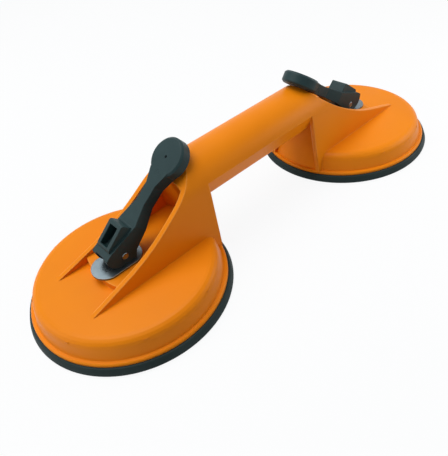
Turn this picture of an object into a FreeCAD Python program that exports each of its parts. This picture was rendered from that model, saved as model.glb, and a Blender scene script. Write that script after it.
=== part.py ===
import FreeCAD, Part
import math
import os

# Double suction lifter: one orange moulding, two bells joined by a hollow handle, with a
# rubber pad, a draw stud and a cam lever at each end.
# Millimetres. Origin on the floor, midway between the bells. X runs along the handle,
# +Z is up. Each end is modelled in its own frame first: axis of the bell on Z, +X outboard.

Vector = FreeCAD.Vector
X_AXIS = Vector(1, 0, 0)
Y_AXIS = Vector(0, 1, 0)
Z_AXIS = Vector(0, 0, 1)
REACH = 400.0                    # longer than any cut has to be

# ---- driving dimensions -------------------------------------------------------------
CUP_SPACING = 197.0              # bell axis to bell axis

# rubber pad
PAD_RADIUS = 60.0
PAD_SHOULDER_RADIUS = 58.4       # at the top of the band
PAD_BAND_HEIGHT = 5.0
PAD_EDGE_CHAMFER = 0.9
PAD_LIP_WIDTH = 7.0              # ring that lies on the floor
PAD_HOLLOW_RISE = 1.8            # hollow under the middle of the pad
PAD_SEAT_WIDTH = 9.0             # ring that the bell's flange sits on
PAD_SEAT_STEP = 0.9              # web below the seat

# bell
FLANGE_RADIUS = 57.2
FLANGE_THICKNESS = 2.0
FLANGE_CHAMFER = 0.7
WALL_FOOT_RADIUS = 54.9
BELL_HEIGHT = 13.2               # flange underside to top face
WALL_SLOPE = 0.235               # inward lean of the side wall, mm per mm
BELL_EDGE_ROUND = 5.2
ROUND_FLATS = 4                  # flats that make up that round
BELL_WALL = 3.0
RIB_COUNT = 8
RIB_THICKNESS = 2.0
RIB_DEPTH = 6.5
RIB_SHALLOW = 0.5                # depth over the backing disc
RIB_START_RADIUS = 27.0
SPRING_POCKET_RADIUS = 12.6      # pocket for the spring, up into the raised floor
SPRING_POCKET_ROOF = 3.5         # solid floor left above that pocket

# raised floor between the cheeks
FLOOR_RISE = 4.2                 # above the bell's top face
FLOOR_FRONT = 16.0               # outboard reach on the centre line
FLOOR_FRONT_BOW = 52.0           # radius of the bowed front edge

# handle
GRIP_RADIUS = 18.0               # round top of the handle
GRIP_CENTRE_HEIGHT = 44.0
GRIP_CREASE_ANGLE = 16.0         # degrees above the widest line where the underside starts
GRIP_KEEL_HALF_WIDTH = 11.0
GRIP_KEEL_HEIGHT = 37.2
GRIP_KEEL_ROUND = 4.5
GRIP_KEEL_HALF_LENGTH = 45.5
GRIP_KEEL_END_ROUND = 10.5
MOULDING_WALL = 3.0

# cheeks that carry the handle down to the bell
CHEEK_DRAFT = 5.7                # degrees, outward going down
CHEEK_TIP = 34.6                 # outboard ends of the cheeks
CHEEK_REAR = 53.4                # inboard edge of the fins at the flange
LIP_BACKING = 5.3                # the fins reach this far inboard of the lip of the handle
SWEEP_LOW = (14.0, 5.6)          # points of the swept edge: outboard of the bell's axis
SWEEP_MIDDLE = (-4.0, 11.8)      # and above the bell's top face
SWEEP_HIGH = (18.7, 3.6)         # outboard of the lip and below the handle's crease
SWEEP_LIP = (7.6, 8.0)           # outboard of the lip and below the handle's crown
MOUTH_GAP = 0.3                  # lever knob to the lip of the handle

# steel wear plate
PLATE_THICKNESS = 1.3
PLATE_HALF_WIDTH = 9.5
PLATE_OUTBOARD = 18.3
PLATE_INBOARD = 12.0
PLATE_END_BULGE = 7.0            # height of the arc at each end

# draw stud and its backing disc
STUD_RADIUS = 3.5
STUD_EYE_RADIUS = 5.0
DISC_RADIUS = 19.0
DISC_THICKNESS = 1.6
DISC_SEAT_GAP = 0.3
COLLAR_RADIUS = 6.0
COLLAR_THICKNESS = 1.0

# return spring and its thrust washer
SPRING_WIRE_RADIUS = 0.6
SPRING_TOP_RADIUS = 6.2
SPRING_FOOT_RADIUS = 11.5
SPRING_TURNS = 2.5
SPRING_RUNS_PER_TURN = 14
SPRING_END_GAP = 0.3
WASHER_RADIUS = 9.0
WASHER_THICKNESS = 0.8

# lever and pin
PIN_RADIUS = 2.2
PIN_END_CHAMFER = 0.4
LEVER_LEAN = 38.9                # degrees above the horizontal at rest
LEVER_TRAVEL = 90.0              # degrees from rest to locked
CAM_LOW = 5.0                    # pin axis to cam face at rest
CAM_LIFT = 6.0                   # rise of the stud over the travel
CAM_SEAT_GAP = 0.3               # cam face above the wear plate
CHEEK_PLATE = 3.5                # thickness of each cam cheek of the lever
CAM_HEEL = 5.5                   # flat of the cam inboard of the pin
LEVER_LENGTH = 57.0              # pin axis to the middle of the knob
KNOB_RADIUS = 11.6
KNOB_THICKNESS = 7.2
KNOB_FACE = 2.0                  # outer face of the knob above the pin line
KNOB_CHAMFER = 1.1
NECK_HALF_WIDTH = 3.9
NECK_START = 29.0                # from the pin axis, where the yoke has narrowed to it
NECK_END = 40.0                  # where it starts to widen towards the knob
NECK_FACE = 2.5                  # outer face of the neck above the pin line
NECK_BACK = 3.8                  # back face below the pin line
YOKE_LENGTH = 17.0               # straight sides of the yoke, from the pin axis
YOKE_BACK = 4.8                  # back of the yoke below the pin line, by the heel
YOKE_SHOULDER = 9.6              # outer edge of the yoke above the pin line, by the cam
YOKE_WAIST = 4.3                 # the same where the yoke meets the neck
BLOCK_TOP = 11.0                 # outer face of the hollow block above the pin line
BLOCK_HALF_WIDTH = 5.8
BLOCK_START = -2.0               # along the lever, from the pin axis
BLOCK_END = 14.4
BLOCK_WALL = 2.4
BLOCK_POCKET_DEPTH = 6.6
BLOCK_CAM_ROUND = 2.5
BLOCK_NECK_ROUND = 1.2

# fits
RUNNING_CLEARANCE = 0.05         # radial, pin in the stud and stud in its bore
PRESS_CLEARANCE = 0.01           # radial, pin in the lever
SIDE_CLEARANCE = 0.3             # lever cheeks to the stud
PLATE_HOLE_CLEARANCE = 0.4

# ---- heights and places that follow -------------------------------------------------
flange_z = PAD_BAND_HEIGHT
flange_top_z = flange_z + FLANGE_THICKNESS
bell_top_z = flange_z + BELL_HEIGHT
ceiling_z = bell_top_z - BELL_WALL
floor_z = bell_top_z + FLOOR_RISE
plate_top_z = floor_z + PLATE_THICKNESS
pin_z = plate_top_z + CAM_SEAT_GAP + CAM_LOW
pocket_roof_z = floor_z - SPRING_POCKET_ROOF
washer_foot_z = pocket_roof_z - WASHER_THICKNESS
disc_foot_z = PAD_BAND_HEIGHT - PAD_SEAT_STEP + DISC_SEAT_GAP
disc_top_z = disc_foot_z + DISC_THICKNESS
stud_slot_half = STUD_RADIUS + SIDE_CLEARANCE
lever_half_width = stud_slot_half + CHEEK_PLATE
lean = math.radians(LEVER_LEAN)
draft = math.tan(math.radians(CHEEK_DRAFT))


# ---- small helpers ------------------------------------------------------------------
def line(a, b):
    return Part.LineSegment(a, b).toShape()


def closed_face(points):
    return Part.Face(Part.makePolygon(points + [points[0]]))


def rounded_face(points, radii):
    """Flat face through the points, each corner an arc of its own radius (0 keeps it)."""
    edges = []
    starts = []
    ends = []
    count = len(points)
    for i, corner in enumerate(points):
        before = (points[i - 1] - corner).normalize()
        after = (points[(i + 1) % count] - corner).normalize()
        half = before.getAngle(after) / 2
        cut = radii[i] / math.tan(half) if radii[i] else 0.0
        starts.append(corner + before * cut)
        ends.append(corner + after * cut)
    for i, corner in enumerate(points):
        if radii[i]:
            before = (points[i - 1] - corner).normalize()
            after = (points[(i + 1) % count] - corner).normalize()
            half = before.getAngle(after) / 2
            middle = (before + after).normalize()
            top = corner + middle * (radii[i] / math.sin(half) - radii[i])
            edges.append(Part.Arc(starts[i], top, ends[i]).toShape())
        following = (i + 1) % count
        if (starts[following] - ends[i]).Length > 1e-6:
            edges.append(line(ends[i], starts[following]))
    return Part.Face(Part.Wire(edges))


def revolved(profile):
    """Solid of revolution about the bell's axis from (radius, height) points."""
    face = closed_face([Vector(r, 0, z) for r, z in profile])
    return face.revolve(Vector(0, 0, 0), Z_AXIS, 360)


def round_over(corner, before, after, radius):
    """Points that round one corner of a (radius, height) profile in short flats."""
    at = Vector(corner[0], corner[1], 0)
    back = (Vector(before[0], before[1], 0) - at).normalize()
    ahead = (Vector(after[0], after[1], 0) - at).normalize()
    half = back.getAngle(ahead) / 2
    centre = at + (back + ahead).normalize() * (radius / math.sin(half))
    first = at + back * (radius / math.tan(half)) - centre
    last = at + ahead * (radius / math.tan(half)) - centre
    sweep = first.getAngle(last)
    points = []
    for i in range(ROUND_FLATS + 1):
        share = i / ROUND_FLATS
        ray = first * math.sin((1 - share) * sweep) + last * math.sin(share * sweep)
        point = centre + ray * (1 / math.sin(sweep))
        points.append((point.x, point.y))
    return points


def wall_radius(z):
    """Outside of the bell's side wall, carried on upwards behind the cheeks."""
    return WALL_FOOT_RADIUS - (z - flange_top_z) * WALL_SLOPE


def side_prism(face):
    """A face in the XZ plane, run right through across Y."""
    moved = face.copy()
    moved.translate(Vector(0, -REACH / 2, 0))
    return moved.extrude(Vector(0, REACH, 0))


# ---- the moulding -------------------------------------------------------------------
def dome_section(x, offset, foot_z):
    """Section across the handle: round top, sides that flare down to foot_z.
    The offset moves it inwards, which gives the inside of the wall."""
    radius = GRIP_RADIUS - offset
    angle = math.radians(CHEEK_DRAFT)
    tangent_y = radius * math.cos(angle)
    tangent_z = GRIP_CENTRE_HEIGHT + radius * math.sin(angle)
    foot_y = tangent_y + (tangent_z - foot_z) * draft
    right = Vector(x, tangent_y, tangent_z)
    left = Vector(x, -tangent_y, tangent_z)
    crown = Vector(x, 0, GRIP_CENTRE_HEIGHT + radius)
    foot_right = Vector(x, foot_y, foot_z)
    foot_left = Vector(x, -foot_y, foot_z)
    edges = [line(foot_left, left), Part.Arc(left, crown, right).toShape()]
    edges += [line(right, foot_right), line(foot_right, foot_left)]
    return Part.Face(Part.Wire(edges))


def upper_section(x, offset, foot_z):
    """The round top alone, cut off flat at foot_z."""
    radius = GRIP_RADIUS - offset
    half = math.sqrt(radius ** 2 - (foot_z - GRIP_CENTRE_HEIGHT) ** 2)
    left = Vector(x, -half, foot_z)
    right = Vector(x, half, foot_z)
    crown = Vector(x, 0, GRIP_CENTRE_HEIGHT + radius)
    return Part.Face(Part.Wire([Part.Arc(left, crown, right).toShape(), line(right, left)]))


crease_z = GRIP_CENTRE_HEIGHT + GRIP_RADIUS * math.sin(math.radians(GRIP_CREASE_ANGLE))
crease_y = GRIP_RADIUS * math.cos(math.radians(GRIP_CREASE_ANGLE))
inner_crease_z = crease_z + MOULDING_WALL


def mouth_top():
    """Where the lip of the handle stands, just short of the knob's back face."""
    back = KNOB_FACE - KNOB_THICKNESS - MOUTH_GAP
    crown_z = GRIP_CENTRE_HEIGHT + GRIP_RADIUS
    along = (crown_z - pin_z - back * math.cos(lean)) / math.sin(lean)
    return -along * math.cos(lean) + back * math.sin(lean)


def cheek_outline():
    """Side view of a tower: swept top edge, tips fading into the bell, upright rear."""
    crown_z = GRIP_CENTRE_HEIGHT + GRIP_RADIUS
    lip_x = mouth_top()
    tip = Vector(CHEEK_TIP, 0, bell_top_z - 0.6)
    rear_x = lip_x - LIP_BACKING
    sweep = [tip,
             Vector(SWEEP_LOW[0], 0, bell_top_z + SWEEP_LOW[1]),
             Vector(SWEEP_MIDDLE[0], 0, bell_top_z + SWEEP_MIDDLE[1]),
             Vector(lip_x + SWEEP_HIGH[0], 0, crease_z - SWEEP_HIGH[1]),
             Vector(lip_x + SWEEP_LIP[0], 0, crown_z - SWEEP_LIP[1]),
             Vector(lip_x, 0, crown_z)]
    curve = Part.BSplineCurve()
    curve.interpolate(sweep)
    over = Vector(lip_x - 1.0, 0, crown_z + 1.0)
    rear_top = Vector(rear_x, 0, crown_z + 1.0)
    rear_bend = Vector(rear_x, 0, crease_z)
    rear_foot = Vector(-CHEEK_REAR, 0, flange_top_z - 0.5)
    front_foot = Vector(CHEEK_TIP, 0, flange_top_z - 0.5)
    edges = [curve.toShape(), line(sweep[-1], over), line(over, rear_top)]
    edges += [line(rear_top, rear_bend), line(rear_bend, rear_foot)]
    edges += [line(rear_foot, front_foot), line(front_foot, tip)]
    return Part.Face(Part.Wire(edges))


def rear_cone(offset):
    """Everything inside the bell's wall line carried up past the handle."""
    top_z = GRIP_CENTRE_HEIGHT + GRIP_RADIUS + 10
    profile = [(0, flange_z), (wall_radius(flange_z) - offset, flange_z),
               (wall_radius(top_z) - offset, top_z), (0, top_z)]
    return revolved(profile)


def tower():
    """Two cheeks, the curved wall behind the lever's pocket and the mouth of the handle."""
    start = mouth_top() - 2 * LIP_BACKING
    length = CHEEK_TIP + LIP_BACKING - start
    outside = dome_section(start, 0, flange_z + 1).extrude(X_AXIS * length)
    solid = outside.common(side_prism(cheek_outline()))
    inside = dome_section(start - 1, MOULDING_WALL, flange_z).extrude(X_AXIS * (length + 2))
    pocket = inside.common(rear_cone(MOULDING_WALL))
    behind = inside.cut(rear_cone(0))
    low = Part.makeBox(REACH, REACH, crease_z - flange_z,
                       Vector(-REACH / 2, -REACH / 2, flange_z))
    solid = solid.cut(pocket).cut(behind.common(low))
    return solid


def bell_outside():
    foot = (WALL_FOOT_RADIUS, flange_top_z)
    shoulder = (wall_radius(bell_top_z), bell_top_z)
    middle = (0, bell_top_z)
    profile = [(0, flange_z), (FLANGE_RADIUS, flange_z),
               (FLANGE_RADIUS, flange_top_z - FLANGE_CHAMFER),
               (FLANGE_RADIUS - FLANGE_CHAMFER, flange_top_z), foot]
    profile += round_over(shoulder, foot, middle, BELL_EDGE_ROUND)
    profile.append(middle)
    return revolved(profile)


def bell_inside():
    profile = [(0, flange_z - 1), (wall_radius(flange_z) - BELL_WALL, flange_z - 1),
               (wall_radius(ceiling_z) - BELL_WALL, ceiling_z), (0, ceiling_z)]
    return revolved(profile)


def raised_floor():
    """Step between the cheeks, with a bowed front edge, under the wear plate."""
    bow = Part.makeCylinder(FLOOR_FRONT_BOW, floor_z - ceiling_z,
                            Vector(FLOOR_FRONT - FLOOR_FRONT_BOW, 0, ceiling_z))
    start = -CHEEK_REAR
    between = dome_section(start, MOULDING_WALL / 2, flange_z)
    between = between.extrude(X_AXIS * (CHEEK_TIP - start))
    return bow.common(between).common(rear_cone(MOULDING_WALL / 2))


def rib(angle):
    """One radial rib inside the bell, shallow over the disc and deep at the wall."""
    inner = SPRING_POCKET_RADIUS + RIB_THICKNESS
    outer = wall_radius(ceiling_z - RIB_DEPTH) - BELL_WALL / 2
    points = [Vector(inner, 0, ceiling_z + 0.5),
              Vector(inner, 0, ceiling_z - RIB_SHALLOW),
              Vector(RIB_START_RADIUS - 3, 0, ceiling_z - RIB_SHALLOW),
              Vector(RIB_START_RADIUS + 4, 0, ceiling_z - RIB_DEPTH),
              Vector(outer, 0, ceiling_z - RIB_DEPTH),
              Vector(outer, 0, ceiling_z + 0.5)]
    solid = closed_face(points).extrude(Y_AXIS * RIB_THICKNESS)
    solid.translate(Vector(0, -RIB_THICKNESS / 2, 0))
    solid.rotate(Vector(0, 0, 0), Z_AXIS, angle)
    return solid


def keel():
    """Underside of the grip below the crease, rounded up at both ends."""
    half = GRIP_KEEL_HALF_LENGTH
    points = [Vector(-half, crease_y, crease_z),
              Vector(-half, GRIP_KEEL_HALF_WIDTH + 1.5, GRIP_KEEL_HEIGHT),
              Vector(-half, -GRIP_KEEL_HALF_WIDTH - 1.5, GRIP_KEEL_HEIGHT),
              Vector(-half, -crease_y, crease_z)]
    section = rounded_face(points, [0, GRIP_KEEL_ROUND, GRIP_KEEL_ROUND, 0])
    solid = section.extrude(X_AXIS * 2 * half)
    side = [Vector(-half, 0, crease_z + 1), Vector(-half, 0, GRIP_KEEL_HEIGHT),
            Vector(half, 0, GRIP_KEEL_HEIGHT), Vector(half, 0, crease_z + 1)]
    ends = rounded_face(side, [0, GRIP_KEEL_END_ROUND, GRIP_KEEL_END_ROUND, 0])
    return solid.common(side_prism(ends))


def keel_hollow():
    """Inside of the keel, one wall in from its faces."""
    half = GRIP_KEEL_HALF_LENGTH - MOULDING_WALL
    low = GRIP_KEEL_HEIGHT + MOULDING_WALL
    width = GRIP_KEEL_HALF_WIDTH - MOULDING_WALL + 2.0
    top = crease_z + MOULDING_WALL + 0.5
    top_width = crease_y - MOULDING_WALL - 0.8
    points = [Vector(-half, top_width, top), Vector(-half, width, low),
              Vector(-half, -width, low), Vector(-half, -top_width, top)]
    solid = closed_face(points).extrude(X_AXIS * 2 * half)
    side = [Vector(-half, 0, top + 1), Vector(-half, 0, low),
            Vector(half, 0, low), Vector(half, 0, top + 1)]
    inner_round = GRIP_KEEL_END_ROUND - MOULDING_WALL
    ends = rounded_face(side, [0, inner_round, inner_round, 0])
    return solid.common(side_prism(ends))


def at_end(shape, side):
    """A piece of one end, put in place: side +1 is the right end, -1 the left."""
    placed = shape.copy()
    if side < 0:
        placed.rotate(Vector(0, 0, 0), Z_AXIS, 180)
    placed.translate(Vector(side * CUP_SPACING / 2, 0, 0))
    return placed


def lifter_body():
    """The whole orange moulding."""
    solid = None
    end_tower = tower()
    end_bell = bell_outside()
    end_floor = raised_floor()
    span = CUP_SPACING + 2 * mouth_top()
    grip = upper_section(-span / 2, 0, crease_z).extrude(X_AXIS * span)
    solid = grip.fuse(keel())
    for side in (1, -1):
        solid = solid.fuse(at_end(end_tower, side))
        solid = solid.fuse(at_end(end_bell, side))
        solid = solid.fuse(at_end(end_floor, side))
    channel = upper_section(-span / 2 - 1, MOULDING_WALL, inner_crease_z)
    solid = solid.cut(channel.extrude(X_AXIS * (span + 2)))
    solid = solid.cut(keel_hollow())
    inside = bell_inside()
    pocket = Part.makeCylinder(SPRING_POCKET_RADIUS, pocket_roof_z - ceiling_z + 1,
                               Vector(0, 0, ceiling_z - 1))
    bore = Part.makeCylinder(STUD_RADIUS + RUNNING_CLEARANCE, SPRING_POCKET_ROOF + 2,
                             Vector(0, 0, pocket_roof_z - 1))
    for side in (1, -1):
        solid = solid.cut(at_end(inside, side))
        solid = solid.cut(at_end(pocket, side))
        for number in range(RIB_COUNT):
            turn = (number + 0.5) * 360.0 / RIB_COUNT
            solid = solid.fuse(at_end(rib(turn), side))
        solid = solid.cut(at_end(bore, side))
    return solid.removeSplitter()


# ---- pieces of one end --------------------------------------------------------------
def suction_pad():
    """Rubber pad: flared band, flat floor lip, hollow middle."""
    lip = PAD_RADIUS - PAD_LIP_WIDTH
    web_top = PAD_BAND_HEIGHT - PAD_SEAT_STEP
    seat = FLANGE_RADIUS - PAD_SEAT_WIDTH
    profile = [(0, PAD_HOLLOW_RISE), (DISC_RADIUS, PAD_HOLLOW_RISE), (lip, 0),
               (PAD_RADIUS - PAD_EDGE_CHAMFER, 0), (PAD_RADIUS, PAD_EDGE_CHAMFER),
               (PAD_SHOULDER_RADIUS, PAD_BAND_HEIGHT), (seat, PAD_BAND_HEIGHT),
               (seat, web_top), (0, web_top)]
    return revolved(profile)


def backing_disc():
    return revolved([(STUD_RADIUS, disc_foot_z), (DISC_RADIUS, disc_foot_z),
                     (DISC_RADIUS, disc_top_z), (STUD_RADIUS, disc_top_z)])


def draw_stud():
    """Round stud riveted in the backing disc, with a cross eye for the lever pin."""
    shank = Part.makeCylinder(STUD_RADIUS, pin_z - disc_foot_z, Vector(0, 0, disc_foot_z))
    collar = Part.makeCylinder(COLLAR_RADIUS, COLLAR_THICKNESS, Vector(0, 0, disc_top_z))
    eye = Part.makeCylinder(STUD_EYE_RADIUS, 2 * STUD_RADIUS,
                            Vector(0, -STUD_RADIUS, pin_z), Y_AXIS)
    hole = Part.makeCylinder(PIN_RADIUS + RUNNING_CLEARANCE, 4 * STUD_RADIUS,
                             Vector(0, -2 * STUD_RADIUS, pin_z), Y_AXIS)
    return shank.fuse([collar, eye]).cut(hole).removeSplitter()


def thrust_washer():
    solid = Part.makeCylinder(WASHER_RADIUS, WASHER_THICKNESS, Vector(0, 0, washer_foot_z))
    hole = Part.makeCylinder(STUD_RADIUS + PLATE_HOLE_CLEARANCE, WASHER_THICKNESS + 2,
                             Vector(0, 0, washer_foot_z - 1))
    return solid.cut(hole)


def return_spring():
    """Conical coil between the backing disc and the thrust washer, in short straight runs."""
    foot = disc_top_z + SPRING_END_GAP + SPRING_WIRE_RADIUS
    top = washer_foot_z - SPRING_END_GAP - SPRING_WIRE_RADIUS
    count = int(SPRING_TURNS * SPRING_RUNS_PER_TURN)
    path = []
    for i in range(count + 1):
        share = i / count
        radius = SPRING_FOOT_RADIUS + (SPRING_TOP_RADIUS - SPRING_FOOT_RADIUS) * share
        angle = 2 * math.pi * SPRING_TURNS * share
        path.append(Vector(radius * math.cos(angle), radius * math.sin(angle),
                           foot + (top - foot) * share))
    heading = (path[1] - path[0]).normalize()
    side = heading.cross(Z_AXIS).normalize()
    rise = side.cross(heading)
    ring = []
    for i in range(7):
        angle = math.pi / 3 * i
        ring.append(path[0] + (side * math.cos(angle) + rise * math.sin(angle))
                    * SPRING_WIRE_RADIUS)
    return Part.makePolygon(path).makePipeShell([Part.makePolygon(ring)], True, False, 1)


def wear_plate():
    """Polished steel plate on the raised floor, rounded at both ends."""
    low = floor_z
    out = PLATE_OUTBOARD - PLATE_END_BULGE
    inn = -PLATE_INBOARD + PLATE_END_BULGE
    w = PLATE_HALF_WIDTH
    edges = [line(Vector(inn, -w, low), Vector(out, -w, low)),
             Part.Arc(Vector(out, -w, low), Vector(PLATE_OUTBOARD, 0, low),
                      Vector(out, w, low)).toShape(),
             line(Vector(out, w, low), Vector(inn, w, low)),
             Part.Arc(Vector(inn, w, low), Vector(-PLATE_INBOARD, 0, low),
                      Vector(inn, -w, low)).toShape()]
    solid = Part.Face(Part.Wire(edges)).extrude(Z_AXIS * PLATE_THICKNESS)
    hole = Part.makeCylinder(STUD_RADIUS + PLATE_HOLE_CLEARANCE, PLATE_THICKNESS + 2,
                             Vector(0, 0, low - 1))
    return solid.cut(hole)


# The lever is drawn in its own plane: a runs from the pin to the knob, b stands out of
# the lever's outer face. At rest the lever leans inboard against the handle.
def lever_point(a, b, y=0.0):
    u = -a * math.cos(lean) + b * math.sin(lean)
    z = a * math.sin(lean) + b * math.cos(lean)
    return Vector(u, y, pin_z + z)


def cam_point(turn, rise):
    """Contact point of the cam after the lever has turned, in lever coordinates.
    The cam face is the involute whose height grows evenly with the turn."""
    down = math.radians(270) - lean - turn
    height = CAM_LOW + rise * turn
    a = height * math.cos(down) + rise * math.sin(down)
    b = height * math.sin(down) - rise * math.cos(down)
    return a, b


def lever_outline():
    """Side view of the lever: cam, yoke, neck and back face."""
    travel = math.radians(LEVER_TRAVEL)
    rise = CAM_LIFT / travel
    steps = 8
    cam = [lever_point(*cam_point(travel * i / steps, rise)) for i in range(steps + 1)]
    curve = Part.BSplineCurve()
    curve.interpolate(cam)
    down = math.radians(270) - lean
    heel_a = CAM_LOW * math.cos(down) - CAM_HEEL * math.sin(down)
    heel_b = CAM_LOW * math.sin(down) + CAM_HEEL * math.cos(down)
    back = KNOB_FACE - KNOB_THICKNESS
    tail = LEVER_LENGTH - KNOB_RADIUS / 2
    points = [cam[-1],
              lever_point(BLOCK_START, YOKE_SHOULDER),
              lever_point(BLOCK_END + 2, YOKE_WAIST),
              lever_point((NECK_START + NECK_END) / 2, NECK_FACE),
              lever_point(tail, KNOB_FACE),
              lever_point(tail, back),
              lever_point(NECK_START, -NECK_BACK),
              lever_point(YOKE_LENGTH, -NECK_BACK),
              lever_point(CAM_HEEL, -YOKE_BACK),
              lever_point(heel_a, heel_b),
              cam[0]]
    edges = [curve.toShape()]
    edges += [line(a, b) for a, b in zip(points, points[1:])]
    return Part.Face(Part.Wire(edges))


def lever_plan():
    """Plan of the lever seen square to its outer face: wide yoke, waist, neck."""
    w = lever_half_width
    n = NECK_HALF_WIDTH
    side = [(-LEVER_LENGTH, w), (YOKE_LENGTH, w), (NECK_START, n), (NECK_END, n),
            (LEVER_LENGTH - KNOB_RADIUS * 0.72, KNOB_RADIUS * 0.62), (LEVER_LENGTH, n)]
    points = [lever_point(a, -LEVER_LENGTH, y) for a, y in side]
    points += [lever_point(a, -LEVER_LENGTH, -y) for a, y in reversed(side)]
    lift = lever_point(0, 2 * LEVER_LENGTH) - lever_point(0, 0)
    return closed_face(points).extrude(lift)


def stud_slot():
    """Gap between the cheeks: it clears the stud from rest to the end of the travel."""
    gap = STUD_RADIUS + 2 * SIDE_CLEARANCE
    down = math.radians(270) - lean
    far = 30.0
    first = (math.cos(down), math.sin(down))
    last = (math.cos(down - math.radians(LEVER_TRAVEL)),
            math.sin(down - math.radians(LEVER_TRAVEL)))
    inner = (-first[1] * gap, first[0] * gap)
    outer = (last[1] * gap, -last[0] * gap)
    corners = [inner,
               (inner[0] + first[0] * far, inner[1] + first[1] * far),
               ((first[0] + last[0]) * far, (first[1] + last[1]) * far),
               (outer[0] + last[0] * far, outer[1] + last[1] * far),
               outer]
    wedge = closed_face([lever_point(a, b, -stud_slot_half) for a, b in corners])
    wedge = wedge.extrude(Y_AXIS * 2 * stud_slot_half)
    eye = Part.makeCylinder(STUD_EYE_RADIUS + 2 * SIDE_CLEARANCE, 2 * stud_slot_half,
                            Vector(0, -stud_slot_half, pin_z), Y_AXIS)
    return wedge.fuse(eye)


def hollow_block():
    """Block on the outer side of the yoke, open outwards."""
    low = YOKE_WAIST - 1
    corners = [lever_point(BLOCK_START, low, -BLOCK_HALF_WIDTH),
               lever_point(BLOCK_START, BLOCK_TOP, -BLOCK_HALF_WIDTH),
               lever_point(BLOCK_END, BLOCK_TOP, -BLOCK_HALF_WIDTH),
               lever_point(BLOCK_END + 1, low, -BLOCK_HALF_WIDTH)]
    outline = rounded_face(corners, [0, BLOCK_CAM_ROUND, BLOCK_NECK_ROUND, 0])
    return outline.extrude(Y_AXIS * 2 * BLOCK_HALF_WIDTH)


def block_pocket():
    """Pocket of the block; its floor rises towards the eye of the stud."""
    half = BLOCK_HALF_WIDTH - BLOCK_WALL
    near = BLOCK_START + BLOCK_WALL
    far = BLOCK_END - BLOCK_WALL
    low = BLOCK_TOP - BLOCK_POCKET_DEPTH
    corners = [(near, low + 3.0), (near + 6.4, low), (far, low),
               (far, BLOCK_TOP + 5), (near, BLOCK_TOP + 5)]
    pocket = closed_face([lever_point(a, b, -half) for a, b in corners])
    return pocket.extrude(Y_AXIS * 2 * half)


def cam_lever():
    solid = side_prism(lever_outline()).common(lever_plan())
    solid = solid.fuse(hollow_block())
    outward = (lever_point(0, 1) - lever_point(0, 0)).normalize()
    flat = KNOB_RADIUS - KNOB_CHAMFER
    knob = revolved([(0, 0), (flat, 0), (KNOB_RADIUS, KNOB_CHAMFER),
                     (KNOB_RADIUS, KNOB_THICKNESS - KNOB_CHAMFER),
                     (flat, KNOB_THICKNESS), (0, KNOB_THICKNESS)])
    knob.rotate(Vector(0, 0, 0), Y_AXIS, math.degrees(Z_AXIS.getAngle(outward)))
    knob.translate(lever_point(LEVER_LENGTH, KNOB_FACE - KNOB_THICKNESS))
    solid = solid.fuse(knob)
    solid = solid.cut(block_pocket())
    solid = solid.cut(stud_slot())
    hole = Part.makeCylinder(PIN_RADIUS + PRESS_CLEARANCE, 4 * lever_half_width,
                             Vector(0, -2 * lever_half_width, pin_z), Y_AXIS)
    return solid.cut(hole).removeSplitter()


def lever_pin():
    length = 2 * lever_half_width
    solid = Part.makeCylinder(PIN_RADIUS, length, Vector(0, -lever_half_width, pin_z), Y_AXIS)
    rims = [e for e in solid.Edges if e.Curve.TypeId == "Part::GeomCircle"]
    return solid.makeChamfer(PIN_END_CHAMFER, rims)


# ---- write every node ---------------------------------------------------------------
END_PIECES = {
    "suction_pad": suction_pad,
    "backing_disc": backing_disc,
    "draw_stud": draw_stud,
    "thrust_washer": thrust_washer,
    "return_spring": return_spring,
    "wear_plate": wear_plate,
    "cam_lever": cam_lever,
    "lever_pin": lever_pin,
}

os.makedirs("parts", exist_ok=True)
lifter_body().exportStep("parts/lifter_body.step")
for name, make in END_PIECES.items():
    piece = make()
    at_end(piece, -1).exportStep("parts/" + name + "_left.step")
    at_end(piece, 1).exportStep("parts/" + name + "_right.step")
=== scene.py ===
import math

import bmesh
import bpy
from mathutils import Matrix, Vector


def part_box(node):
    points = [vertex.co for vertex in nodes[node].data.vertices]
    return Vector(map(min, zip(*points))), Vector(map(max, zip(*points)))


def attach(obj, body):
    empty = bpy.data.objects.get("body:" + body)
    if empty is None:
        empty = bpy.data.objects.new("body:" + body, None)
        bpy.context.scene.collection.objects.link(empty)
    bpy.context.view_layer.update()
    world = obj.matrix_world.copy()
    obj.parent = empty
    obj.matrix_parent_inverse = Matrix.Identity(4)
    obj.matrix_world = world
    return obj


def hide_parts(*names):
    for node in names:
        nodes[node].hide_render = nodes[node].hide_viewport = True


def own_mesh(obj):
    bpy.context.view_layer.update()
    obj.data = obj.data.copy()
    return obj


# Double suction lifter for floor tiles. The tool is put together in this order: the
# moulding, then at each end the rubber pad, the steel inside it and the cam lever.
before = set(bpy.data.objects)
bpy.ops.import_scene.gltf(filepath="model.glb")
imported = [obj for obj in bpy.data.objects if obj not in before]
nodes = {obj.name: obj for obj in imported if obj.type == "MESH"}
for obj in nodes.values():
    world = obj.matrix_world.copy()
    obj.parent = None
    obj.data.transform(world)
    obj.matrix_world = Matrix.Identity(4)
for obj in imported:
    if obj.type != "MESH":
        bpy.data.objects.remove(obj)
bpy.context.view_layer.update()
ENDS = {"left": -1, "right": 1}

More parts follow.
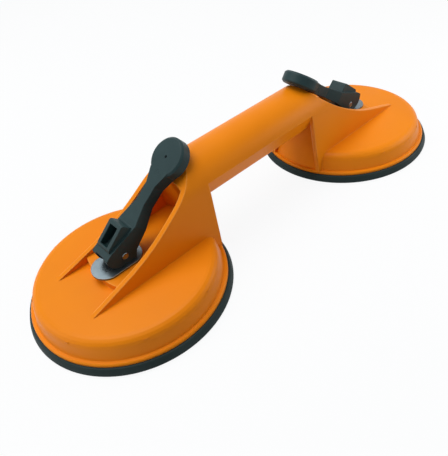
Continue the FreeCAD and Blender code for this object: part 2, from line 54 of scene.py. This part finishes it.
# ---- orange moulding ------------------------------------------------------------------
# One injection moulding in orange polypropylene: both bells, the towers with their
# cheeks, and the hollow handle. Satin skin, a fine spark grain, and a painted highlight:
# a lighter tint on the outward edges.
ORANGE_DEEP = (0.80, 0.222, 0.003)
ORANGE_BRIGHT = (0.86, 0.250, 0.005)
# painted highlight: the lighter tint that is mixed into the colour along the outward edges
ORANGE_EDGE_HIGHLIGHT = (1.0, 0.42, 0.08)
MOULDED_EDGE = 0.0009            # radius of the edges that the tool leaves
# width, share, height and fade of that painted highlight band
EDGE_HIGHLIGHT_WIDTH = 0.0015             # width of the lighter band along an edge
EDGE_HIGHLIGHT_SHARE = 0.8
EDGE_HIGHLIGHT_ABOVE = 0.0185            # just over the bells' top faces
EDGE_HIGHLIGHT_FADE = 0.0005
EDGE_TURN = (0.96, 0.80)         # cosine of the turn at an edge, from none to full tint
EDGE_OPEN = (0.80, 0.95)         # open share of the surroundings, from none to full tint
NODE_SAMPLES = 6


def start_material(name):
    """A material with one shader, and nothing linked to that shader yet."""
    material = bpy.data.materials.new(name)
    material.use_nodes = True
    tree = material.node_tree
    tree.nodes.clear()
    output = tree.nodes.new("ShaderNodeOutputMaterial")
    skin = tree.nodes.new("ShaderNodeBsdfPrincipled")
    tree.links.new(skin.outputs["BSDF"], output.inputs["Surface"])
    return material, tree, skin


def noise(tree, scale, detail=2.0, roughness=0.5):
    place = tree.nodes.new("ShaderNodeTexCoord")
    cloud = tree.nodes.new("ShaderNodeTexNoise")
    cloud.inputs["Scale"].default_value = scale
    cloud.inputs["Detail"].default_value = detail
    cloud.inputs["Roughness"].default_value = roughness
    tree.links.new(place.outputs["Object"], cloud.inputs["Vector"])
    return cloud.outputs["Fac"]


def spread(tree, value, start, end, low=0.0, high=1.0):
    """The value mapped so that start gives low and end gives high."""
    scale = tree.nodes.new("ShaderNodeMapRange")
    scale.inputs["From Min"].default_value = start
    scale.inputs["From Max"].default_value = end
    scale.inputs["To Min"].default_value = low
    scale.inputs["To Max"].default_value = high
    tree.links.new(value, scale.inputs["Value"])
    return scale.outputs["Result"]


def combine(tree, operation, first, second):
    result = tree.nodes.new("ShaderNodeMath")
    result.operation = operation
    tree.links.new(first, result.inputs[0])
    tree.links.new(second, result.inputs[1])
    return result.outputs[0]


def vary_colour(tree, skin, fac, low, high):
    """Let the colour drift between two tones, along with a noise."""
    ramp = tree.nodes.new("ShaderNodeValToRGB")
    ramp.color_ramp.elements[0].position = 0.35
    ramp.color_ramp.elements[1].position = 0.65
    ramp.color_ramp.elements[0].color = (*low, 1)
    ramp.color_ramp.elements[1].color = (*high, 1)
    tree.links.new(fac, ramp.inputs["Fac"])
    tree.links.new(ramp.outputs["Color"], skin.inputs["Base Color"])


def vary_roughness(tree, skin, fac, low, high):
    tree.links.new(spread(tree, fac, 0.3, 0.7, low, high), skin.inputs["Roughness"])


def rounded_normal(tree, radius):
    soft = tree.nodes.new("ShaderNodeBevel")
    soft.samples = NODE_SAMPLES
    soft.inputs["Radius"].default_value = radius
    return soft.outputs["Normal"]


def grain(tree, skin, height, strength, distance, edge=None):
    """A fine relief from a noise, over edges that are rounded by the given radius."""
    bump = tree.nodes.new("ShaderNodeBump")
    bump.inputs["Strength"].default_value = strength
    bump.inputs["Distance"].default_value = distance
    tree.links.new(height, bump.inputs["Height"])
    if edge:
        tree.links.new(rounded_normal(tree, edge), bump.inputs["Normal"])
    tree.links.new(bump.outputs["Normal"], skin.inputs["Normal"])


def paint_edge_highlight(tree, skin, width, above, tint, most):
    """Paint a highlight: mix a lighter tint into the colour on outward edges above a height."""
    face = tree.nodes.new("ShaderNodeNewGeometry")
    turn = tree.nodes.new("ShaderNodeVectorMath")
    turn.operation = "DOT_PRODUCT"
    tree.links.new(rounded_normal(tree, width), turn.inputs[0])
    tree.links.new(face.outputs["Normal"], turn.inputs[1])
    sharp = spread(tree, turn.outputs["Value"], *EDGE_TURN)
    hollow = tree.nodes.new("ShaderNodeAmbientOcclusion")
    hollow.only_local = True
    hollow.samples = NODE_SAMPLES
    hollow.inputs["Distance"].default_value = 2 * width
    outward = spread(tree, hollow.outputs["AO"], *EDGE_OPEN)
    place = tree.nodes.new("ShaderNodeTexCoord")
    height = tree.nodes.new("ShaderNodeSeparateXYZ")
    tree.links.new(place.outputs["Object"], height.inputs[0])
    raised = spread(tree, height.outputs["Z"], above, above + EDGE_HIGHLIGHT_FADE, high=most)
    share = combine(tree, "MULTIPLY", combine(tree, "MULTIPLY", sharp, outward), raised)
    mix = tree.nodes.new("ShaderNodeMix")
    mix.data_type = "RGBA"
    mix.inputs["B"].default_value = (*tint, 1)
    tree.links.new(share, mix.inputs["Factor"])
    tree.links.new(skin.inputs["Base Color"].links[0].from_socket, mix.inputs["A"])
    tree.links.new(mix.outputs["Result"], skin.inputs["Base Color"])


orange, tree, skin = start_material("orange_polypropylene")
skin.inputs["Specular IOR Level"].default_value = 0.12
vary_colour(tree, skin, noise(tree, scale=14, detail=3), ORANGE_DEEP, ORANGE_BRIGHT)
vary_roughness(tree, skin, noise(tree, scale=55, detail=4, roughness=0.6), 0.34, 0.44)
grain(tree, skin, noise(tree, scale=1500), strength=0.12, distance=0.0001, edge=MOULDED_EDGE)
# painted highlight along the outward edges of the towers and cheeks, above the bells' top faces
paint_edge_highlight(tree, skin, EDGE_HIGHLIGHT_WIDTH, EDGE_HIGHLIGHT_ABOVE, ORANGE_EDGE_HIGHLIGHT, EDGE_HIGHLIGHT_SHARE)
nodes["lifter_body"].data.materials[0] = orange

# ---- rubber pads ----------------------------------------------------------------------
# A moulded black rubber pad under each bell: a flared band round the flange, a flat lip
# on the floor and a shallow hollow inside. It is seated against the flange's underside.
RUBBER_DEEP = (0.006, 0.016, 0.016)
RUBBER_WORN = (0.011, 0.024, 0.024)
PAD_STEPS = 128
PAD_ROUND = 0.0007
BAND_TAPER = 0.0016              # how much narrower the band is at its top
FOOT_CHAMFER = 0.0009
LIP_WIDTH = 0.0070               # flat ring on the floor
LIP_RAMP = 0.0140                # from that ring in to the hollow
HOLLOW_RISE = 0.0018
SEAT_WIDTH = 0.0118              # ring that the flange sits on
SEAT_STEP = 0.0009


def as_object(name, mesh):
    data = bpy.data.meshes.new(name)
    mesh.to_mesh(data)
    mesh.free()
    for face in data.polygons:
        face.use_smooth = True
    piece = bpy.data.objects.new(name, data)
    bpy.context.collection.objects.link(piece)
    return piece


def turned(name, outline, centre, rounds):
    """A closed solid turned about the upright axis through centre, from (radius, height).

    The corners whose places in the outline are in rounds are rounded first.
    """
    mesh = bmesh.new()
    points = [mesh.verts.new((r, 0, z)) for r, z in outline]
    for pair in zip(points, points[1:]):
        mesh.edges.new(pair)
    bmesh.ops.bevel(mesh, geom=[points[i] for i in rounds], offset=PAD_ROUND, segments=3,
                    profile=0.5, affect="VERTICES", material=-1)
    bmesh.ops.spin(mesh, geom=mesh.verts[:] + mesh.edges[:], cent=(0, 0, 0),
                   axis=(0, 0, 1), angle=2 * math.pi, steps=PAD_STEPS, use_merge=True)
    bmesh.ops.remove_doubles(mesh, verts=mesh.verts, dist=1e-6)
    bmesh.ops.recalc_face_normals(mesh, faces=mesh.faces)
    bmesh.ops.translate(mesh, verts=mesh.verts, vec=centre)
    return as_object(name, mesh)


def foot_of_axis(node):
    """The point on the floor under the middle of a node."""
    low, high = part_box(node)
    return Vector(((low[0] + high[0]) / 2, (low[1] + high[1]) / 2, 0))


rubber, tree, skin = start_material("black_rubber")
skin.inputs["Specular IOR Level"].default_value = 0.2
vary_colour(tree, skin, noise(tree, scale=40, detail=4), RUBBER_DEEP, RUBBER_WORN)
vary_roughness(tree, skin, noise(tree, scale=90, detail=4, roughness=0.7), 0.5, 0.68)
grain(tree, skin, noise(tree, scale=900, detail=3), strength=0.2, distance=0.0001)

for end in ENDS:
    low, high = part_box("suction_pad_" + end)
    radius = (high[0] - low[0]) / 2
    band = high[2]
    lip = radius - LIP_WIDTH
    seat = radius - SEAT_WIDTH
    outline = [(0, HOLLOW_RISE), (lip - LIP_RAMP, HOLLOW_RISE / 2), (lip, 0),
               (radius - FOOT_CHAMFER, 0), (radius, FOOT_CHAMFER),
               (radius - BAND_TAPER, band), (seat, band), (seat, band - SEAT_STEP),
               (0, band - SEAT_STEP)]
    pad = turned("rubber_pad_" + end, outline, foot_of_axis("suction_pad_" + end),
                 rounds=(3, 4, 5))
    pad.data.materials.append(rubber)
    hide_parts("suction_pad_" + end)
    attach(pad, "lifter")

# ---- steel inside each end ------------------------------------------------------------
# Zinc plated steel: the wear plate under the cam, the stud with its backing disc, the
# thrust washer and the lever pin. The return spring is round wire wound on a cone.
ZINC_DULL = (0.15, 0.19, 0.21)
ZINC_BRIGHT = (0.21, 0.25, 0.27)
WIRE_DULL = (0.22, 0.23, 0.25)
WIRE_BRIGHT = (0.36, 0.37, 0.40)
COIL_TURNS = 2.5
COIL_STEPS = 100
COIL_FOOT_RADIUS = 0.0113
COIL_TOP_RADIUS = 0.0062
WIRE_RADIUS = 0.0006
WIRE_SIDES = 10

steel, tree, skin = start_material("zinc_plated_steel")
skin.inputs["Metallic"].default_value = 1.0
vary_colour(tree, skin, noise(tree, scale=60, detail=3), ZINC_DULL, ZINC_BRIGHT)
vary_roughness(tree, skin, noise(tree, scale=110, detail=3), 0.24, 0.32)
grain(tree, skin, noise(tree, scale=400), strength=0.04, distance=0.00005, edge=0.0003)

wire, tree, skin = start_material("spring_wire")
skin.inputs["Metallic"].default_value = 1.0
vary_colour(tree, skin, noise(tree, scale=300, detail=3), WIRE_DULL, WIRE_BRIGHT)
vary_roughness(tree, skin, noise(tree, scale=400), 0.3, 0.45)


def wire_section(mesh, wire_radius, reach, height=0.0):
    """The upright cut through a wire, at its reach from the axis that it goes round."""
    section = bmesh.ops.create_circle(mesh, segments=WIRE_SIDES, radius=wire_radius)["verts"]
    bmesh.ops.rotate(mesh, verts=section, cent=(0, 0, 0),
                     matrix=Matrix.Rotation(math.pi / 2, 3, "X"))
    bmesh.ops.translate(mesh, verts=section, vec=(reach, 0, height))


def conical_coil(name, side, axis, foot, top):
    """A round wire wound on a cone, from its outboard foot up to its narrow end."""
    mesh = bmesh.new()
    wire_section(mesh, WIRE_RADIUS, side * COIL_FOOT_RADIUS, foot + WIRE_RADIUS)
    climb = (top - foot - 2 * WIRE_RADIUS) / COIL_STEPS
    bmesh.ops.spin(mesh, geom=mesh.verts[:] + mesh.edges[:], cent=(0, 0, 0), axis=(0, 0, 1),
                   dvec=(0, 0, climb), angle=2 * math.pi * COIL_TURNS, steps=COIL_STEPS)
    taper = (COIL_FOOT_RADIUS - COIL_TOP_RADIUS) / (top - foot)
    for point in mesh.verts:
        inward = -Vector((point.co.x, point.co.y, 0)).normalized()
        point.co += inward * taper * (point.co.z - foot)
    ends = [edge for edge in mesh.edges if edge.is_boundary]
    bmesh.ops.holes_fill(mesh, edges=ends, sides=0)
    bmesh.ops.recalc_face_normals(mesh, faces=mesh.faces)
    bmesh.ops.translate(mesh, verts=mesh.verts, vec=axis)
    return as_object(name, mesh)


for end, side in ENDS.items():
    for name in ("wear_plate_", "draw_stud_", "backing_disc_", "thrust_washer_", "lever_pin_"):
        nodes[name + end].data.materials[0] = steel
    axis = foot_of_axis("draw_stud_" + end)
    low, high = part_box("return_spring_" + end)
    spring = conical_coil("conical_spring_" + end, side, axis, low[2], high[2])
    spring.data.materials.append(wire)
    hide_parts("return_spring_" + end)
    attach(spring, "lifter")
    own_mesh(spring)

# ---- cam levers -----------------------------------------------------------------------
# Glass-filled nylon in a blue black, moulded as one piece: a cam yoke with a hollow block,
# a waisted neck and a round thumb knob. A near-black disc on the knob is painted shade,
# standing in for the shade in the knob's dimple, and an ejector pin leaves a fine ring on the
# neck.
NYLON_DEEP = (0.011, 0.031, 0.033)
NYLON_WORN = (0.016, 0.040, 0.042)
# painted shade: the near-black tones of the disc that stands in for the shaded dimple in the
# knob
DIMPLE_SHADE_DARK = (0.001, 0.003, 0.004)
DIMPLE_SHADE_PALE = (0.003, 0.007, 0.008)
LEAN = math.radians(38.9)        # of the lever at rest, over the floor
KNOB_ALONG = 0.0570              # from the pin, up the lever
RING_ALONG = 0.0476
FACE_OUT = 0.0020                # outer face of the knob, square to the lever
# size and place of the near-black disc that paints the shade in the knob's dimple
SHADE_DOT_RADIUS = 0.0008
SHADE_DOT_DEPTH = 0.0004
SHADE_DOT_SIDES = 20
SHADE_DOT_SUNK = 0.00012              # middle of the mark, below that face
RING_RADIUS = 0.0015
RING_WIRE = 0.00014
RING_STEPS = 32

nylon, tree, skin = start_material("black_nylon")
skin.inputs["Specular IOR Level"].default_value = 0.2
vary_colour(tree, skin, noise(tree, scale=60, detail=4), NYLON_DEEP, NYLON_WORN)
vary_roughness(tree, skin, noise(tree, scale=140, detail=4, roughness=0.7), 0.36, 0.50)
grain(tree, skin, noise(tree, scale=1300, detail=3), strength=0.2, distance=0.0001, edge=0.0006)

# material of the painted shade disc in the knob's dimple
mark, tree, skin = start_material("painted_shade_dot_nylon")
skin.inputs["Specular IOR Level"].default_value = 0.05
vary_colour(tree, skin, noise(tree, scale=900), DIMPLE_SHADE_DARK, DIMPLE_SHADE_PALE)
vary_roughness(tree, skin, noise(tree, scale=700), 0.5, 0.7)


def lever_frame(end, along, out):
    """Place on the lever, and the turn that brings +Z to the lever's outer face."""
    low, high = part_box("lever_pin_" + end)
    pin = Vector([(a + b) / 2 for a, b in zip(low, high)])
    outward = Vector((ENDS[end] * math.sin(LEAN), 0, math.cos(LEAN)))
    upwards = Vector((-ENDS[end] * math.cos(LEAN), 0, math.sin(LEAN)))
    across = outward.cross(upwards)
    turn = Matrix((upwards, across, outward)).transposed().to_4x4()
    return Matrix.Translation(pin + upwards * along + outward * out) @ turn


for end in ENDS:
    nodes["cam_lever_" + end].data.materials[0] = nylon
    # a near-black disc sunk into the knob's face: painted shade for its dimple
    dot_disc = bmesh.new()
    bmesh.ops.create_cone(dot_disc, cap_ends=True, segments=SHADE_DOT_SIDES, radius1=SHADE_DOT_RADIUS,
                          radius2=SHADE_DOT_RADIUS, depth=SHADE_DOT_DEPTH)
    dot_disc.transform(lever_frame(end, KNOB_ALONG, FACE_OUT - SHADE_DOT_SUNK))
    piece = as_object("painted_shade_dot_" + end, dot_disc)
    piece.data.materials.append(mark)
    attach(piece, "lever_" + end)
    ring = bmesh.new()
    wire_section(ring, RING_WIRE, RING_RADIUS)
    bmesh.ops.spin(ring, geom=ring.verts[:] + ring.edges[:], cent=(0, 0, 0),
                   axis=(0, 0, 1), angle=2 * math.pi, steps=RING_STEPS, use_merge=True)
    bmesh.ops.remove_doubles(ring, verts=ring.verts, dist=1e-7)
    bmesh.ops.recalc_face_normals(ring, faces=ring.faces)
    ring.transform(lever_frame(end, RING_ALONG, FACE_OUT))
    piece = as_object("ejector_ring_" + end, ring)
    piece.data.materials.append(nylon)
    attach(piece, "lever_" + end)

# ---- floor, light and camera ----------------------------------------------------------
# A white studio table with the tool's own soft shadow, one large soft box overhead, a
# second from the left and a small one close to the right end.
FLOOR_SIZE = 16.0
FLOOR_DROP = 0.00005             # keeps the table clear of the pads' lips
TABLE_GREY = (0.7, 0.7, 0.7)
TABLE_WHITE = (0.99, 0.995, 1.0)
TABLE_GLOW = 1.02
TABLE_WHITE_SHARE = 0.9          # the rest is lit grey, which takes the shadow
ROOM_WHITE = (0.96, 0.98, 1.0)
ROOM_LIGHT = 0.22


def seen_directly(tree):
    """1 for a ray from the camera or off a shiny or clear face, 0 for light that spreads."""
    path = tree.nodes.new("ShaderNodeLightPath")
    shiny = combine(tree, "MAXIMUM", path.outputs["Is Glossy Ray"],
                    path.outputs["Is Transmission Ray"])
    return combine(tree, "MAXIMUM", path.outputs["Is Camera Ray"], shiny)


mesh = bmesh.new()
bmesh.ops.create_grid(mesh, x_segments=1, y_segments=1, size=FLOOR_SIZE / 2)
bmesh.ops.translate(mesh, verts=mesh.verts, vec=(0, 0, -FLOOR_DROP))
table = as_object("studio_table", mesh)
white, tree, skin = start_material("white_table")
skin.inputs["Base Color"].default_value = (*TABLE_GREY, 1)
skin.inputs["Roughness"].default_value = 0.9
glow = tree.nodes.new("ShaderNodeEmission")
glow.inputs["Strength"].default_value = TABLE_GLOW
glow.inputs["Color"].default_value = (*TABLE_WHITE, 1)
mix = tree.nodes.new("ShaderNodeMixShader")
output = next(node for node in tree.nodes if node.type == "OUTPUT_MATERIAL")
tree.links.new(spread(tree, seen_directly(tree), 0, 1, 0, TABLE_WHITE_SHARE), mix.inputs["Fac"])
tree.links.new(skin.outputs["BSDF"], mix.inputs[1])
tree.links.new(glow.outputs["Emission"], mix.inputs[2])
tree.links.new(mix.outputs[0], output.inputs["Surface"])
table.data.materials.append(white)

world = bpy.data.worlds.new("studio")
bpy.context.scene.world = world
world.use_nodes = True
room = world.node_tree
air = room.nodes["Background"]
air.inputs["Color"].default_value = (*ROOM_WHITE, 1)
room.links.new(spread(room, seen_directly(room), 0, 1, ROOM_LIGHT, 1), air.inputs["Strength"])


def soft_box(name, place, target, width, height, watts):
    lamp = bpy.data.lights.new(name, "AREA")
    lamp.shape = "RECTANGLE"
    lamp.size = width
    lamp.size_y = height
    lamp.energy = watts
    holder = bpy.data.objects.new(name, lamp)
    bpy.context.collection.objects.link(holder)
    holder.location = place
    holder.rotation_euler = (Vector(target) - Vector(place)).to_track_quat("-Z", "Y").to_euler()


soft_box("overhead", (-0.15, 0.25, 0.92), (0, 0, 0), width=0.9, height=0.7, watts=8.0)
soft_box("left_side", (-0.85, 0.40, 0.42), (-0.05, 0, 0.02), width=0.5, height=0.4, watts=1.8)
soft_box("front_right", (0.31, -0.19, 0.15), (0.13, -0.05, 0.02), width=0.2, height=0.15,
         watts=0.38)

CAMERA_AT = Vector((-0.15978, -0.18685, 0.19884))
CAMERA_TURN = math.radians(35.525)
CAMERA_DIP = math.radians(41.806)
CAMERA_ROLL = math.radians(-10.413)
LENS = 36.62
ahead = Vector((math.cos(CAMERA_DIP) * math.sin(CAMERA_TURN),
                math.cos(CAMERA_DIP) * math.cos(CAMERA_TURN), -math.sin(CAMERA_DIP)))
level_right = ahead.cross(Vector((0, 0, 1))).normalized()
level_up = level_right.cross(ahead)
right = level_right * math.cos(CAMERA_ROLL) + level_up * math.sin(CAMERA_ROLL)
up = level_up * math.cos(CAMERA_ROLL) - level_right * math.sin(CAMERA_ROLL)
camera_data = bpy.data.cameras.new("camera")
camera_data.sensor_width = 36
camera_data.lens = LENS
camera_data.clip_start = 0.01
camera = bpy.data.objects.new("camera", camera_data)
bpy.context.collection.objects.link(camera)
turn = Matrix((right, up, -ahead)).transposed()
camera.matrix_world = Matrix.Translation(CAMERA_AT) @ turn.to_4x4()
bpy.context.scene.camera = camera
bpy.context.scene.view_settings.view_transform = "Standard"
